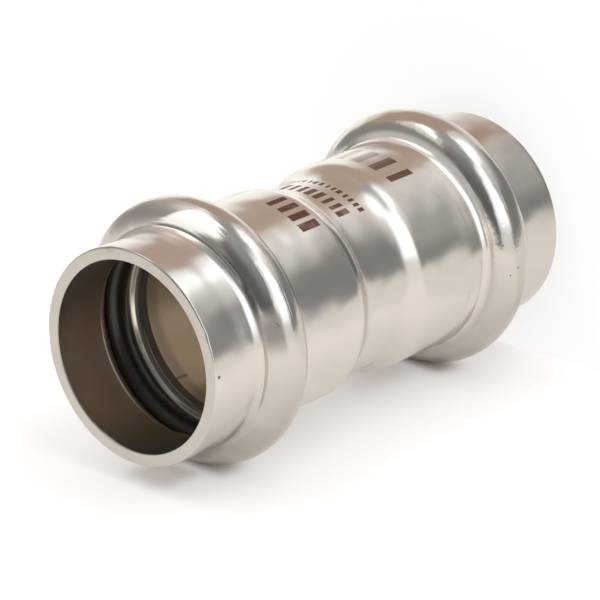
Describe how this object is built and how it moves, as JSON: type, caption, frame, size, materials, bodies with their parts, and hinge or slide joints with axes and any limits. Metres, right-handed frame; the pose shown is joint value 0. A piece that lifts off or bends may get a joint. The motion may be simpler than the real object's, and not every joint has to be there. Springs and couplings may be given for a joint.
{
  "type": "press-fit pipe coupling",
  "caption": "Straight press-fit pipe coupling: a formed stainless tube with a rounded seal bead near each end and a narrower pipe-stop band at mid length.",
  "frame": {"origin": "centre of the lower end face, on the pipe axis", "axes": "+Z along the pipe axis, from the lower socket to the upper one; the part is round about Z"},
  "size_m": [0.0312, 0.0312, 0.0606],
  "materials": {
    "stainless_steel": "satin stainless steel, fine turned grain along the walls, brighter on the beads",
    "seal_rubber": "smooth black rubber, lightly greased"
  },
  "bodies": {
    "root": {"body": "stainless_steel", "lower_seal_ring": "seal_rubber", "upper_seal_ring": "seal_rubber"}
  },
  "joints": []
}
